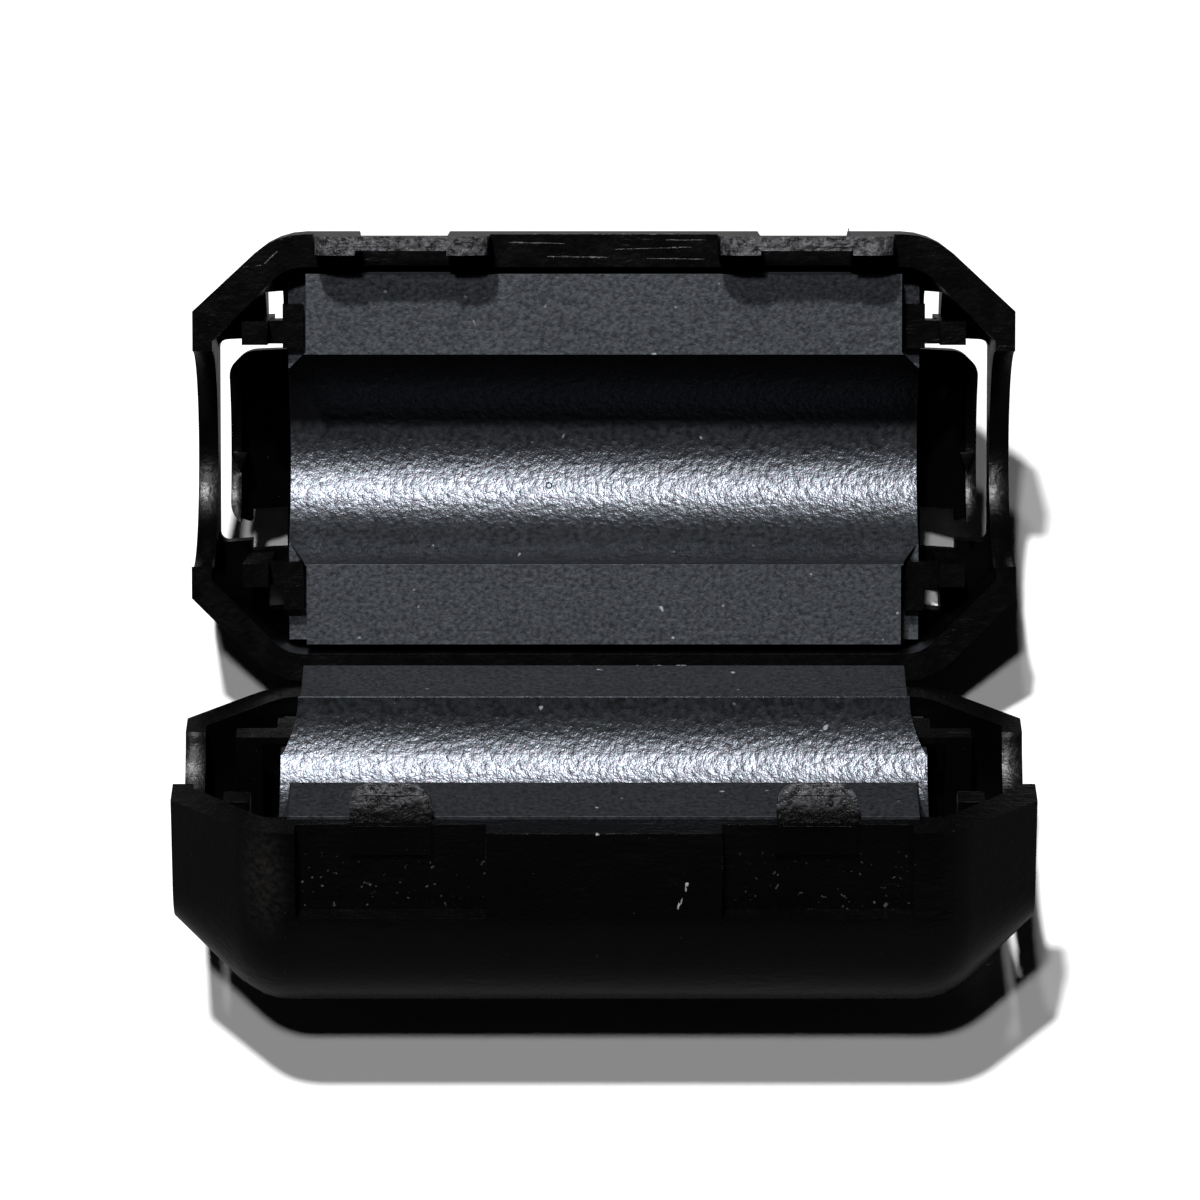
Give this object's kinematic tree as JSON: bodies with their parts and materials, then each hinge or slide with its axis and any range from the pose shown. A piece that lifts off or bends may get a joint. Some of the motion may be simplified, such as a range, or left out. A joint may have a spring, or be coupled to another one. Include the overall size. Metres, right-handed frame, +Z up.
{
  "type": "clip-on ferrite bead",
  "caption": "Clip-on cable ferrite lying open: hinged case halves hold half ferrite cores, with latch tongues and cable claws.",
  "frame": {"origin": "on the table, under the middle of the open clip's box", "axes": "+X along the cable, +Y from the base half across the fold to the lid half, +Z up"},
  "size_m": [0.0352, 0.0374, 0.02],
  "materials": {
    "case_plastic": "black moulded nylon, satin, with faint speckle and scuffs",
    "ferrite": "dark grey sintered ferrite, ground faces, fine glittering grain"
  },
  "bodies": {
    "base": {"base_shell": "case_plastic", "base_core": "ferrite", "living_hinge": "case_plastic"},
    "lid": {"lid_shell": "case_plastic", "lid_core": "ferrite"}
  },
  "joints": [
    {"name": "case_hinge", "type": "hinge", "parent": "base", "child": "lid", "pos_m": [0, -0.00001, 0.00523], "axis": [1, 0, 0], "range_deg": [-65, 107], "stiffness_Nm_per_rad": 0.02, "deforming": ["living_hinge"]}
  ]
}
